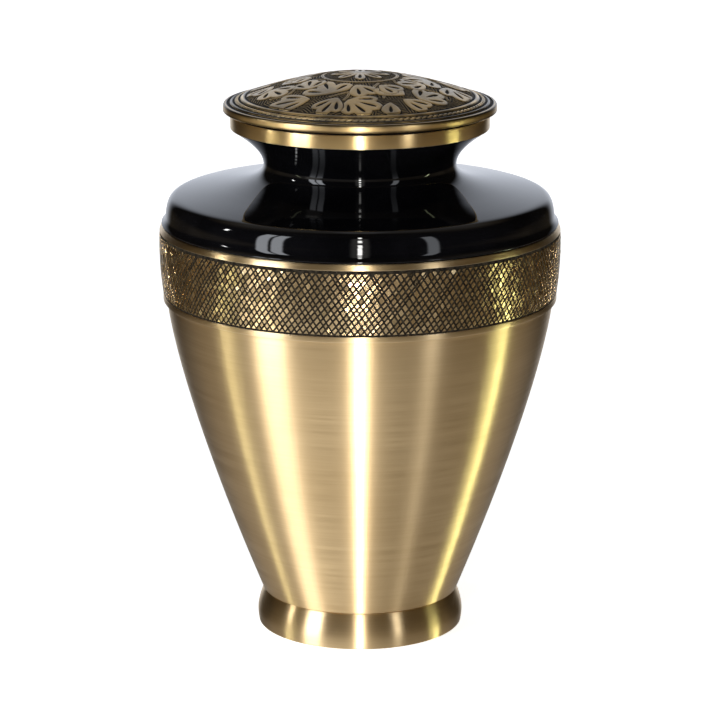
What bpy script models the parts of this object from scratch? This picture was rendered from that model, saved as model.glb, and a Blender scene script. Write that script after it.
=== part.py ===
"""Cremation urn of spun brass: foot ring, body, black shoulder, mouth ring and lid.

Metres, +Z up. The origin lies under the middle of the foot, on the surface that the urn
stands on. Every piece is turned about the Z axis, and each stands on the one below with a
hair of clearance, so the heights form one chain from the ground to the top of the lid.
"""

import math

import bmesh
import bpy
import numpy as np

# Steps round every turned piece, and the gap that touching pieces keep.
TURN_STEPS = 40
CLEARANCE = 0.0003

# Sheet thicknesses.
WALL = 0.0014
FLOOR = 0.0020
RING_WALL = 0.0018
LID_WALL = 0.0016

# Foot ring: a low bulge between its sole and the narrow end of the body, cast with a
# wedge section that is wide at the sole and narrow where it carries the body.
FOOT_HEIGHT = 0.0160
FOOT_SPREAD = 0.0019
FOOT_SETBACK = 0.0006
FOOT_BULGE = 0.0014
FOOT_SOLE_WIDTH = 0.0070
FOOT_TOP_WIDTH = 0.0030

# Body: a swelling cone, then a band between two narrow stripes.
BODY_BASE_RADIUS = 0.0447
CONE_HEIGHT = 0.1363
CONE_FULLNESS = 1.30
STRIPE_STAND = 0.0017
STRIPE_HEIGHT = 0.0025
STRIPE_BEVEL = 0.0011
BAND_RADIUS = 0.0902
BAND_SWELL = 0.0016
BAND_HEIGHT = 0.0290
BAND_PEAK = 0.75

# Shoulder and neck: heights are above the seam with the body.
BEAD_HEIGHT = 0.0037
BEAD_STAND = 0.0018
CREASE_HEIGHT = 0.0131
CREASE_INSET = 0.0050
WAIST_HEIGHT = 0.0266
WAIST_RADIUS = 0.0431
NECK_HEIGHT = 0.0427
LAP = 0.0030

# Each bend: direction and pull where it starts, direction and pull where it ends.
# Directions are in degrees, 0 outwards and 90 up; pulls are shares of the bend's chord.
BEAD_BEND = (96, 0.46, 116, 0.33)
DRUM_BEND = (98, 0.42, 165, 0.40)
TOP_BEND = (169, 0.49, 90, 0.20)
FLARE_BEND = (90, 0.27, 33, 0.42)

# Mouth ring, threaded inside for the lid's plug.
RING_RADIUS = 0.0578
RING_HEIGHT = 0.0073
RING_WIDTH = 0.0130
RING_CHAMFER = 0.0004
RIM_SETBACK = 0.0008

# Lid: a dome that runs out almost straight to a rounded lip.
LID_HEIGHT = 0.01657
LID_OVERHANG = 0.0031
DOME_ROUND = 0.04655
LIP_WIDTH = 0.0021
LIP_LOW = 0.0015
LIP_CHAMFER = 0.0003
LID_SEAT_WIDTH = 0.0048
PLUG_SHORT = 0.0006

# Raised rings inside the lip, outermost first, and the carving's height.
LID_RINGS = (0.0013, 0.0016, 0.0020)
RING_GAP = 0.0009
RELIEF = 0.0005
PAD_SINK = 0.0008

# Leaves of one third of the lid: place of the stalk as a share of the carved field's
# radius and a bearing, then heading, length as a share of that radius, number of lobes,
# and the angle that the lobes fill together. Bearings and headings are in degrees.
LEAF_TURNS = 3
LEAVES = (
    (0.74, -98, -42, 0.31, 4, 116),
    (0.71, -108, -120, 0.28, 3, 75),
    (0.635, -114, 100, 0.30, 3, 150),
    (0.41, -95, -64, 0.25, 2, 66),
    (0.80, -125, 170, 0.27, 3, 84),
    (0.80, -70, -90, 0.19, 1, 74),
    (0.69, -56, 150, 0.27, 2, 84),
    (0.76, -60, -20, 0.24, 2, 60),
    (0.80, -50, 52, 0.28, 3, 104),
    (0.60, -138, 88, 0.23, 3, 96),
)
# Lobes at a leaf's sides are shorter than its middle ones by up to this share.
SIDE_SHORT = 0.45
ROSETTE_PETALS = 8
ROSETTE_LENGTH = 0.26
LOBE_NOTCH = 0.55
LOBE_SHOULDER = 0.84
LOBE_BREADTH = 0.36

# Heights and radii that follow from the sizes above.
FOOT_SOLE_RADIUS = BODY_BASE_RADIUS + FOOT_SPREAD
FOOT_TOP_RADIUS = BODY_BASE_RADIUS - FOOT_SETBACK
BODY_BASE = FOOT_HEIGHT + CLEARANCE
CONE_TOP = BODY_BASE + CONE_HEIGHT
BAND_LOW = CONE_TOP + STRIPE_HEIGHT
BAND_HIGH = BAND_LOW + BAND_HEIGHT
BODY_TOP = BAND_HIGH + STRIPE_HEIGHT
SHOULDER_BASE = BODY_TOP + CLEARANCE
NECK_TOP = SHOULDER_BASE + NECK_HEIGHT
RING_BASE = NECK_TOP + CLEARANCE
RING_TOP = RING_BASE + RING_HEIGHT
LID_SEAT = RING_TOP + CLEARANCE
LID_RADIUS = RING_RADIUS + LID_OVERHANG
LID_APEX = LID_SEAT + LID_HEIGHT
BORE_RADIUS = RING_RADIUS - RING_WIDTH
PLUG_RADIUS = BORE_RADIUS - CLEARANCE
FIELD_RADIUS = LID_RADIUS - LIP_WIDTH - sum(LID_RINGS) - RING_GAP * (len(LID_RINGS) + 1)


def clear_scene():
    """Removes every object that the file holds."""
    for item in list(bpy.data.objects):
        bpy.data.objects.remove(item, do_unlink=True)


def metal(name, colour, roughness, metallic):
    """A Principled material from a colour, a roughness and a metallic value."""
    material = bpy.data.materials.new(name)
    material.use_nodes = True
    shader = material.node_tree.nodes["Principled BSDF"]
    shader.inputs["Base Color"].default_value = (*colour, 1.0)
    shader.inputs["Roughness"].default_value = roughness
    shader.inputs["Metallic"].default_value = metallic
    return material


def bend(start, end, shape, steps):
    """A cubic curve from start to end whose two handles come from a bend's four numbers."""
    start = np.array(start)
    end = np.array(end)
    chord = float(np.hypot(*(end - start)))
    angle_in, pull_in, angle_out, pull_out = shape
    leave = np.array([math.cos(math.radians(angle_in)), math.sin(math.radians(angle_in))])
    arrive = np.array([math.cos(math.radians(angle_out)), math.sin(math.radians(angle_out))])
    handle_in = start + leave * pull_in * chord
    handle_out = end - arrive * pull_out * chord
    t = np.linspace(0.0, 1.0, steps + 1)[:, None]
    return (
        (1 - t) ** 3 * start
        + 3 * (1 - t) ** 2 * t * handle_in
        + 3 * (1 - t) * t**2 * handle_out
        + t**3 * end
    )


def inner_side(outline, wall):
    """The outline moved by one wall to its left, which is inwards for one that climbs.

    Points that the move brings nearer to the outline than the wall are dropped.
    """
    steps = np.diff(outline, axis=0)
    normals = np.stack([-steps[:, 1], steps[:, 0]], axis=1)
    normals /= np.hypot(normals[:, 0], normals[:, 1])[:, None]
    padded = np.vstack([normals[:1], normals, normals[-1:]])
    corner = padded[:-1] + padded[1:]
    corner /= np.hypot(corner[:, 0], corner[:, 1])[:, None]
    reach = wall / np.maximum((corner * padded[:-1]).sum(axis=1), 0.5)
    moved = outline + corner * reach[:, None]
    nearest = np.array([distance_to(outline, point) for point in moved])
    return moved[nearest > 0.95 * wall]


def distance_to(outline, point):
    """The shortest distance from a point to a chain of straight stretches."""
    start = outline[:-1]
    step = np.diff(outline, axis=0)
    share = ((point - start) * step).sum(axis=1) / (step**2).sum(axis=1)
    foot = start + step * np.clip(share, 0.0, 1.0)[:, None]
    return float(np.hypot(*(foot - point).T).min())


def turned(name, outline, material):
    """A closed outline of (radius, height) points turned about Z into one solid."""
    shape = bmesh.new()
    corners = [shape.verts.new((radius, 0.0, height)) for radius, height in outline]
    edges = [shape.edges.new(pair) for pair in zip(corners, corners[1:])]
    if outline[0][0] > 0.0:
        edges.append(shape.edges.new((corners[-1], corners[0])))
    bmesh.ops.spin(
        shape,
        geom=corners + edges,
        cent=(0.0, 0.0, 0.0),
        axis=(0.0, 0.0, 1.0),
        angle=math.tau,
        steps=TURN_STEPS,
        use_merge=True,
    )
    bmesh.ops.remove_doubles(shape, verts=shape.verts, dist=0.000001)
    bmesh.ops.recalc_face_normals(shape, faces=shape.faces)
    return placed(name, shape, material)


def placed(name, shape, material):
    """Puts a bmesh into a smooth-shaded object of the given name."""
    mesh = bpy.data.meshes.new(name)
    shape.to_mesh(mesh)
    shape.free()
    mesh.materials.append(material)
    mesh.shade_smooth()
    mesh.set_sharp_from_angle(angle=math.radians(30.0))
    item = bpy.data.objects.new(name, mesh)
    bpy.context.scene.collection.objects.link(item)
    return item


def foot_outline():
    """A ring of wedge section: sole, bulging side, the narrow seat, and a sloping inside."""
    share = np.linspace(0.0, 1.0, 7)
    lean = (FOOT_TOP_RADIUS - FOOT_SOLE_RADIUS) * share**2
    bulge = FOOT_BULGE * np.sin(math.pi * share) * (1.0 - share)
    side = np.stack([FOOT_SOLE_RADIUS + lean + bulge, FOOT_HEIGHT * share], axis=1)
    return [
        *side,
        (FOOT_TOP_RADIUS - FOOT_TOP_WIDTH, FOOT_HEIGHT),
        (FOOT_SOLE_RADIUS - FOOT_SOLE_WIDTH, 0.0),
    ]


def band_radius(share):
    """The band's radius at a share of its height: a shallow parabola with one peak."""
    return BAND_RADIUS - BAND_SWELL * ((share - BAND_PEAK) / BAND_PEAK) ** 2


def cone_side(steps):
    """The cone's outer side, climbing: the radius gained slows down towards the band."""
    share = np.linspace(0.0, 1.0, steps + 1)
    gain = band_radius(0.0) - STRIPE_STAND - BODY_BASE_RADIUS
    radius = BODY_BASE_RADIUS + gain * (1.0 - (1.0 - share) ** CONE_FULLNESS)
    return np.stack([radius, BODY_BASE + CONE_HEIGHT * share], axis=1)


def band_side(steps):
    """The band's outer side, climbing."""
    share = np.linspace(0.0, 1.0, steps + 1)
    return np.stack([band_radius(share), BAND_LOW + BAND_HEIGHT * share], axis=1)


def body_outline():
    """A cup: floor, cone, lower stripe, band, upper stripe, and the wall's inner side."""
    rim_radius = band_radius(1.0) - STRIPE_BEVEL
    inside = inner_side(np.vstack([cone_side(5), band_side(1)]), WALL)
    above_floor = inside[:, 1] > BODY_BASE + FLOOR
    below_lap = inside[:, 1] < BODY_TOP - 2.0 * LAP
    floor_radius = float(np.interp(BODY_BASE + FLOOR, inside[:, 1], inside[:, 0]))
    return [
        (0.0, BODY_BASE),
        *cone_side(7),
        (band_radius(0.0), CONE_TOP),
        *band_side(4),
        (rim_radius, BODY_TOP),
        (rim_radius - WALL, BODY_TOP),
        (rim_radius - WALL, BODY_TOP - 2.0 * LAP),
        *inside[above_floor & below_lap][::-1],
        (floor_radius, BODY_BASE + FLOOR),
        (0.0, BODY_BASE + FLOOR),
    ]


def shoulder_outline():
    """Bead, drum, rounded crease, sloping top, waist and flare, with a lap in the body."""
    body_rim = band_radius(1.0) - STRIPE_BEVEL
    bead_top = body_rim - BEAD_STAND
    waist = (WAIST_RADIUS, SHOULDER_BASE + WAIST_HEIGHT)
    crease = (bead_top - CREASE_INSET, SHOULDER_BASE + CREASE_HEIGHT)
    drum_foot = (bead_top, SHOULDER_BASE + BEAD_HEIGHT)
    mouth = (RING_RADIUS - RIM_SETBACK, NECK_TOP)
    bead = bend((body_rim, SHOULDER_BASE), drum_foot, BEAD_BEND, 2)
    upper = np.vstack(
        [
            bend(drum_foot, crease, DRUM_BEND, 3),
            bend(crease, waist, TOP_BEND, 4)[1:],
            bend(waist, mouth, FLARE_BEND, 3)[1:],
        ]
    )
    inside = inner_side(upper, WALL)
    inside = inside[(inside[:, 1] > drum_foot[1]) & (inside[:, 1] < NECK_TOP - WALL)]
    lap_radius = body_rim - WALL - CLEARANCE
    drum_inside = bead_top - WALL
    return [
        *bead,
        *upper[1:],
        (mouth[0] - WALL, NECK_TOP),
        *inside[::-1],
        (drum_inside, drum_foot[1]),
        (drum_inside, SHOULDER_BASE - LAP),
        (lap_radius, SHOULDER_BASE - LAP),
        (lap_radius, SHOULDER_BASE),
    ]


def mouth_ring_outline():
    """A channel open below: outer wall, top flange and the sleeve that takes the plug."""
    wall_inside = RING_RADIUS - RING_WALL
    sleeve_outside = BORE_RADIUS + RING_WALL
    under_flange = RING_TOP - RING_WALL
    return [
        (wall_inside, RING_BASE),
        (RING_RADIUS - RING_CHAMFER, RING_BASE),
        (RING_RADIUS, RING_BASE + RING_CHAMFER),
        (RING_RADIUS, RING_TOP - RING_CHAMFER),
        (RING_RADIUS - RING_CHAMFER, RING_TOP),
        (BORE_RADIUS, RING_TOP),
        (BORE_RADIUS, RING_BASE),
        (sleeve_outside, RING_BASE),
        (sleeve_outside, under_flange),
        (wall_inside, under_flange),
    ]


def dome_height(radius):
    """Height of the lid's top at a radius: a hyperbola, round at the middle."""
    spread = LID_RADIUS / DOME_ROUND
    drop = LID_HEIGHT - 2.0 * LIP_LOW
    flatness = drop / (math.sqrt(1.0 + spread**2) - 1.0)
    return LID_APEX - flatness * (np.sqrt(1.0 + (radius / DOME_ROUND) ** 2) - 1.0)


def lid_outline():
    """Dome ground, raised rings, lip, seat, the plug, and the hollow under the dome."""
    outline = [(r, dome_height(r) - RELIEF) for r in np.linspace(0.0, FIELD_RADIUS, 6)]
    radius = FIELD_RADIUS
    for width in reversed(LID_RINGS):
        low = radius + RING_GAP
        high = low + width
        for edge, lift in ((0.0, 0.0), (0.5, 1.0), (1.0, 0.0)):
            at = low + (high - low) * edge
            outline.append((at, dome_height(at) - RELIEF * (1.0 - lift)))
        radius = high
    lip_start = LID_RADIUS - LIP_WIDTH
    lip_level = LID_SEAT + LIP_LOW
    lip_rise = dome_height(lip_start) - lip_level
    outline.append((lip_start, dome_height(lip_start) - RELIEF))
    for turn in np.linspace(0.5 * math.pi, 0.0, 3):
        across = lip_start + LIP_WIDTH * math.cos(turn)
        outline.append((across, lip_level + lip_rise * math.sin(turn)))
    outline.append((LID_RADIUS - LIP_CHAMFER, LID_SEAT))
    seat_edge = LID_RADIUS - LID_SEAT_WIDTH
    plug_inside = PLUG_RADIUS - RING_WALL
    plug_foot = RING_BASE + PLUG_SHORT
    under = RELIEF + LID_WALL
    outline.append((seat_edge, LID_SEAT))
    outline += [(r, dome_height(r) - under) for r in (seat_edge, PLUG_RADIUS)]
    outline.append((PLUG_RADIUS, plug_foot))
    outline.append((plug_inside, plug_foot))
    outline += [(r, dome_height(r) - under) for r in np.linspace(plug_inside, 0.0, 4)]
    return outline


def leaf_plan(stalk, heading, length, lobes, spread):
    """A leaf seen from above: its stalk, then for each lobe two shoulders and a tip."""
    breadth = spread / lobes
    points = [stalk]
    for number in range(lobes):
        offset = number - 0.5 * (lobes - 1)
        if number > 0:
            notch = heading + (offset - 0.5) * breadth
            points.append(polar(stalk, notch, LOBE_NOTCH * length))
        reach = length * (1.0 - SIDE_SHORT * (2.0 * offset / lobes) ** 2)
        points += lobe_end(stalk, heading + offset * breadth, reach, breadth)
    return points


def lobe_end(stalk, heading, reach, breadth):
    """The rounded end of one lobe: shoulder, tip, shoulder."""
    return [
        polar(stalk, heading - LOBE_BREADTH * breadth, LOBE_SHOULDER * reach),
        polar(stalk, heading, reach),
        polar(stalk, heading + LOBE_BREADTH * breadth, LOBE_SHOULDER * reach),
    ]


def rosette_plan():
    """The flower in the middle of the lid: petals all round, with notches between."""
    step = 360.0 / ROSETTE_PETALS
    length = ROSETTE_LENGTH * FIELD_RADIUS
    points = []
    for number in range(ROSETTE_PETALS):
        points.append(polar((0.0, 0.0), (number - 0.5) * step, LOBE_NOTCH * length))
        points += lobe_end((0.0, 0.0), number * step, length, step)
    return points


def polar(start, bearing, distance):
    """The point at a bearing, in degrees, and a distance from a start."""
    angle = math.radians(bearing)
    return (start[0] + distance * math.cos(angle), start[1] + distance * math.sin(angle))


def add_pad(shape, plan, middle=None):
    """A closed pad over a plan outline, its top on the dome and its foot sunk in the wall.

    The top fans out from the middle if there is one, and otherwise from the first point.
    """
    tops = []
    feet = []
    for x, y in plan if middle is None else [middle, *plan]:
        height = float(dome_height(math.hypot(x, y)))
        tops.append(shape.verts.new((x, y, height)))
        feet.append(shape.verts.new((x, y, height - RELIEF - PAD_SINK)))
    rim = list(range(len(plan))) if middle is None else list(range(1, len(plan) + 1))
    for here, after in zip(rim, rim[1:] + rim[:1]):
        shape.faces.new((tops[here], feet[here], feet[after], tops[after]))
        if 0 not in (here, after):
            shape.faces.new((tops[0], tops[here], tops[after]))
            shape.faces.new((feet[0], feet[after], feet[here]))


def make_lid(material):
    """The turned lid with its leaves and rosette joined to the dome."""
    lid = turned("lid", lid_outline(), material)
    pads = bmesh.new()
    add_pad(pads, rosette_plan(), middle=(0.0, 0.0))
    for turn in range(LEAF_TURNS):
        for place, bearing, heading, length, lobes, spread in LEAVES:
            around = turn * 360.0 / LEAF_TURNS
            stalk = polar((0.0, 0.0), bearing + around, place * FIELD_RADIUS)
            plan = leaf_plan(stalk, heading + around, length * FIELD_RADIUS, lobes, spread)
            add_pad(pads, plan)
    guide = placed("leaf_pads", pads, material)
    guide.hide_render = True
    guide.display_type = "WIRE"
    join = lid.modifiers.new("carving", "BOOLEAN")
    join.operation = "UNION"
    join.object = guide
    join.use_self = True
    return lid


def main():
    clear_scene()
    satin_brass = metal("satin_brass", (0.72, 0.55, 0.27), 0.32, 1.0)
    aged_brass = metal("aged_brass", (0.50, 0.42, 0.28), 0.42, 1.0)
    black_enamel = metal("black_enamel", (0.006, 0.006, 0.008), 0.08, 0.0)
    turned("foot_ring", foot_outline(), satin_brass)
    turned("body", body_outline(), satin_brass)
    turned("shoulder", shoulder_outline(), black_enamel)
    turned("mouth_ring", mouth_ring_outline(), satin_brass)
    make_lid(aged_brass)


if __name__ == "__main__":
    main()
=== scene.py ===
"""Cremation urn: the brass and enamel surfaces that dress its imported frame.

Metres, +Z up, in the frame's own coordinates. Every piece is turned about the Z axis.
"""

import math
from functools import partial

import bpy
import numpy as np
from bpy.props import FloatProperty, FloatVectorProperty, IntProperty, PointerProperty
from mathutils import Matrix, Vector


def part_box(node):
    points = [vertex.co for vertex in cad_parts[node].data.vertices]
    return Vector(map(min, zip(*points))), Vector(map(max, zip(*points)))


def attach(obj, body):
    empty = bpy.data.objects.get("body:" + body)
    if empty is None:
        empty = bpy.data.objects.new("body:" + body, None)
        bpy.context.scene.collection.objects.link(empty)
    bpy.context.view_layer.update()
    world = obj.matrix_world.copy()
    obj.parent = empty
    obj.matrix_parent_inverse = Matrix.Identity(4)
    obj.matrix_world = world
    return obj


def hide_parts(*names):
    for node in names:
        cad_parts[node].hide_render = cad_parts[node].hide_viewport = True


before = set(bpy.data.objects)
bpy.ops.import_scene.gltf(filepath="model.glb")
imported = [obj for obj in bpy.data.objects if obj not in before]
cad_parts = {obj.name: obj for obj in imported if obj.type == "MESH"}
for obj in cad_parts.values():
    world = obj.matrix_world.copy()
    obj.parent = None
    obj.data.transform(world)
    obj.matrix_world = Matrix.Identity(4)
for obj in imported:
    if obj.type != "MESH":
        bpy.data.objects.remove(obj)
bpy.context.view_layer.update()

bl_info = {
    "name": "Cremation urn",
    "version": (1, 0, 0),
    "blender": (4, 5, 0),
    "location": "3D View > Sidebar > Urn",
    "description": "Builds a turned brass urn with a net band, enamel shoulder and carved lid",
    "category": "Object",
}

BODY = "root"
FRONT = -0.5 * math.pi
MILLIMETRE = 0.001
# A corner counts as crisp where it turns by a radian within this length.
CRISP_LENGTH = 0.0004

# Leaves of one third of the lid: place of the stalk as a share of the carved field's
# radius and a bearing, then heading, length as a share of that radius, number of lobes,
# and the angle that the lobes fill together. Bearings and headings are in degrees.
LEAF_TURNS = 3
LEAVES = (
    (0.74, -98, -42, 0.29, 4, 124),
    (0.70, -106, -118, 0.29, 3, 74),
    (0.635, -114, 100, 0.28, 3, 150),
    (0.41, -95, -64, 0.26, 2, 70),
    (0.77, -124, 176, 0.31, 3, 84),
    (0.80, -71, -88, 0.19, 1, 78),
    (0.69, -56, 150, 0.26, 2, 84),
    (0.76, -61, -24, 0.25, 2, 66),
    (0.80, -50, 52, 0.27, 3, 104),
    (0.60, -138, 88, 0.24, 3, 100),
    (0.44, -68, -30, 0.21, 2, 80),
)
# Stems of one third of the lid, each a run of (share of the field's radius, bearing).
STEMS = (
    ((0.33, -150), (0.45, -163), (0.58, -160), (0.68, -149), (0.79, -146), (0.89, -151)),
    ((0.39, -66), (0.47, -75), (0.56, -76), (0.60, -70), (0.70, -73)),
    ((0.69, -112), (0.62, -106), (0.58, -100), (0.66, -99), (0.73, -101)),
)


def length(name, default, text):
    """A size in metres."""
    return FloatProperty(
        name=name, description=text, default=default, min=0.0, precision=5, unit="LENGTH"
    )


def share(name, default, text):
    """A number without a unit."""
    return FloatProperty(name=name, description=text, default=default, precision=3)


def colour(name, default, text):
    """A colour in linear light."""
    return FloatVectorProperty(
        name=name, description=text, default=default, size=3, min=0.0, max=1.0, subtype="COLOR"
    )


def curve(name, default, text):
    """A bend: direction and pull where it starts, direction and pull where it ends."""
    return FloatVectorProperty(name=name, description=text, default=default, size=4)


def top_of(node):
    """Height of a CAD node's highest point."""
    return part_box(node)[1].z


def foot_of(node):
    """Height of a CAD node's lowest point."""
    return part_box(node)[0].z


def reach_of(node):
    """Greatest radius of a CAD node."""
    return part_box(node)[1].x


def joint_gap():
    """The gap that two pieces which touch keep between them, read between foot and body."""
    return foot_of("body") - top_of("foot_ring")


class UrnFoot(bpy.types.PropertyGroup):
    """Sizes of the foot ring."""

    radius: length("Radius", 0.0471, "Greatest radius")
    widest: share("Widest", 0.32, "Where it is widest, as a share of its height")
    sole_in: length("Sole inset", 0.0005, "How much smaller the ring is on the ground")
    top_in: length("Top inset", 0.0031, "How much smaller it is under the body")
    fullness: share("Fullness", 1.7, "How round its side is; 1 is straight")
    sole_width: length("Sole width", 0.0070, "Width of the ring on the ground")
    top_width: length("Top width", 0.0030, "Width of the ring under the body")
    height: length("Height", top_of("foot_ring"), "Height of the foot ring")


class UrnBody(bpy.types.PropertyGroup):
    """Sizes of the brass body."""

    base_radius: length("Base radius", 0.0447, "Radius where the body stands on the foot")
    cone_height: length("Cone height", 0.1363, "Height of the tapering side")
    fullness: share("Fullness", 1.30, "How much the cone swells; 1 is straight")
    stripe_stand: length("Stripe stand", 0.0017, "How far the lower stripe stands out")
    stripe_height: length("Stripe height", 0.0025, "Height of each plain stripe")
    stripe_bevel: length("Stripe bevel", 0.0011, "How far the upper stripe leans in")
    band_radius: length("Band radius", reach_of("body"), "Greatest radius of the urn")
    band_height: length("Band height", 0.0290, "Height of the net band")
    band_swell: length("Band swell", 0.0016, "How much smaller the band is at its foot")
    band_peak: share("Band peak", 0.75, "Where the band is widest, as a share of its height")
    wall: length("Wall", 0.0014, "Thickness of the sheet")
    floor: length("Floor", 0.0020, "Thickness of the floor")
    edge: length("Edge", 0.00035, "Radius of the rounded edges")


class UrnNet(bpy.types.PropertyGroup):
    """Sizes of the net cut into the band."""

    lines: IntProperty(
        name="Lines", description="Cuts of each direction round the band", default=204, min=12
    )
    steep: share("Steeper cut", 59.0, "Angle of the cuts that fall to the right, in degrees")
    shallow: share("Flatter cut", 49.0, "Angle of the cuts that rise to the right, in degrees")
    groove: length("Groove", 0.00076, "Width of a cut")
    depth: length("Depth", 0.00045, "Depth of a cut")
    border: length("Border", 0.0009, "Dark line left along the lower stripe")
    top_border: length("Top border", 0.0014, "Dark line left along the upper stripe")
    blunt: length("Blunt", 0.00016, "How much is taken off the sharp corners of a pad")
    wander: share("Wander", 0.085, "How far a cut strays, as a share of the spacing")
    tilt: share("Tilt", 1.1, "Usual tilt of a pad, in degrees")
    spark: share("Spark", 5.0, "Tilt of the unruly pads, in degrees")


class UrnShoulder(bpy.types.PropertyGroup):
    """Sizes of the enamelled shoulder and neck."""

    edge_height: length("Edge height", 0.0008, "Height of the rolled edge over the body")
    edge_tuck: length("Edge tuck", 0.0005, "How far it turns in under itself")
    bead_height: length("Bead height", 0.0037, "Height of the flared skirt over the body")
    bead_stand: length("Bead stand", 0.0018, "How far that skirt stands out from the drum")
    crease_height: length("Crease height", 0.0131, "Height of the rounded crease")
    crease_inset: length("Crease inset", 0.0050, "How far the crease lies in from the drum")
    waist_height: length("Waist height", 0.0266, "Height of the narrowest part")
    waist_radius: length("Waist radius", 0.0431, "Radius of the narrowest part")
    rim_setback: length("Rim setback", 0.0008, "How far the neck stays in under the ring")
    lap: length("Lap", 0.0030, "How far the shoulder goes into the body")
    edge: curve("Edge bend", (30, 0.5, 110, 0.5), "Curve of the rolled edge")
    bead: curve("Bead bend", (140, 0.34, 98, 0.40), "Curve of the flared skirt")
    drum: curve("Drum bend", (98, 0.42, 165, 0.40), "Curve from the drum to the crease")
    top: curve("Top bend", (169, 0.49, 90, 0.20), "Curve from the crease to the waist")
    flare: curve("Flare bend", (90, 0.27, 33, 0.42), "Curve from the waist to the mouth")


class UrnRing(bpy.types.PropertyGroup):
    """Sizes of the mouth ring."""

    radius: length("Radius", reach_of("mouth_ring"), "Outer radius")
    width: length("Width", 0.0130, "From the outer side to the bore")
    wall: length("Wall", 0.0018, "Thickness of the walls")
    chamfer: length("Chamfer", 0.0004, "Broken edge")
    # The groove below is real geometry; the material paints it dark as shade, see line_depth.
    groove_height: length("Groove height", 0.0012, "Dark line turned in under the lid")
    groove_depth: length("Groove depth", 0.0009, "How far that line is cut in")


class UrnLid(bpy.types.PropertyGroup):
    """Sizes of the lid."""

    radius: length("Radius", reach_of("lid"), "Outer radius of the lip")
    height: length("Height", 0.01657, "From the seat to the top")
    dome_round: length("Dome round", 0.04655, "Small for a pointed dome, large for a flat one")
    lip_width: length("Lip width", 0.0016, "Width of the rounded lip")
    lip_square: share("Lip squareness", 0.6, "1 for a round lip, less for a squarer one")
    lip_gap: length("Lip gap", 0.0014, "Groove beside the lip")
    lip_low: length("Lip low", 0.0015, "Height of the widest part over the seat")
    wall: length("Wall", 0.0016, "Thickness of the sheet")
    seat_width: length("Seat width", 0.0048, "Width of the seat under the lip")
    gap: length("Gap", 0.0009, "Groove beside each raised ring")
    outer_rib: length("Outer rib", 0.0013, "Width of the raised ring next to the lip")
    rope: length("Rope ring", 0.0016, "Width of the ring of beads")
    inner_rib: length("Inner rib", 0.0020, "Width of the raised ring round the carving")
    relief: length("Relief", 0.0005, "Height of the leaves over the ground")
    beads: IntProperty(name="Beads", description="Beads in the ring", default=124, min=12)
    hatch: length("Hatch", 0.0013, "Distance between the lines cut in the ground")
    growth: share("Leaf growth", 1.15, "Size of the leaves against the plan's")
    outline: length("Leaf outline", 0.00035, "Width of the dark line round a leaf")


class UrnFinish(bpy.types.PropertyGroup):
    """Colours and finishes."""

    brass: colour("Brass", (0.80, 0.60, 0.335), "Clean satin brass")
    deep_brass: colour("Deep brass", (0.66, 0.47, 0.235), "Satin brass where it is warmer")
    gold_brass: colour("Gold brass", (0.80, 0.57, 0.26), "Brighter brass of ring and lip")
    net_brass: colour("Net brass", (0.62, 0.47, 0.27), "Pads of the net")
    leaf_brass: colour("Leaf brass", (0.47, 0.33, 0.14), "Aged brass of the leaves")
    leaf_grey: colour("Leaf grey", (0.29, 0.22, 0.12), "Leaves where they are duller")
    # This colour is real patina in the carving and the net, and painted shade in the mouth ring's
    # line under the lid and in the lid shell's corners.
    patina_and_shade: colour("Patina", (0.006, 0.0045, 0.003), "Dark ground of carving and net")
    enamel: colour("Enamel", (0.0012, 0.0012, 0.0016), "Black enamel")
    # Strength of the painted shade that darkens brass in its corners.
    corner_shade: share("Corner shade", 0.55, "How dark brass gets in its corners, from 0 to 1")


class UrnStudio(bpy.types.PropertyGroup):
    """Light, floor and camera."""

    camera_distance: length("Camera distance", 1.3470, "In front of the urn's axis")
    camera_height: length("Camera height", 0.4703, "Over the floor")
    camera_pitch: share("Camera pitch", 14.481, "Degrees below level")
    lens: share("Lens", 153.2, "Focal length in millimetres")
    floor_size: length("Floor size", 12.0, "Side of the floor")


def soften(outline, radius, steps=3, shallow=20.0):
    """Rounds the corners of an outline that turn by more than a shallow angle, in degrees.

    Each becomes a short parabola that takes less than half of the sides it lies between.
    """
    most = 0.45
    points = [tuple(p) for p in outline]
    soft = [points[0]]
    for before, corner, after in zip(points, points[1:], points[2:]):
        back = np.subtract(before, corner)
        ahead = np.subtract(after, corner)
        back_length = np.hypot(*back)
        ahead_length = np.hypot(*ahead)
        straight = -np.dot(back, ahead) / (back_length * ahead_length)
        if straight > math.cos(math.radians(shallow)):
            soft.append(corner)
            continue
        start = corner + back * min(radius / back_length, most)
        end = corner + ahead * min(radius / ahead_length, most)
        for t in np.linspace(0.0, 1.0, steps + 1):
            pull = 2.0 * t * (1.0 - t) * np.array(corner)
            soft.append(tuple((1.0 - t) ** 2 * start + pull + t * t * end))
    soft.append(points[-1])
    return soft


def bend(start, end, shape, steps):
    """A cubic curve from start to end whose two handles come from a bend's four numbers."""
    start = np.array(start)
    end = np.array(end)
    chord = float(np.hypot(*(end - start)))
    angle_in, pull_in, angle_out, pull_out = shape
    leave = np.array([math.cos(math.radians(angle_in)), math.sin(math.radians(angle_in))])
    arrive = np.array([math.cos(math.radians(angle_out)), math.sin(math.radians(angle_out))])
    handle_in = start + leave * pull_in * chord
    handle_out = end - arrive * pull_out * chord
    t = np.linspace(0.0, 1.0, steps + 1)[:, None]
    return (
        (1 - t) ** 3 * start
        + 3 * (1 - t) ** 2 * t * handle_in
        + 3 * (1 - t) * t**2 * handle_out
        + t**3 * end
    )


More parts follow.
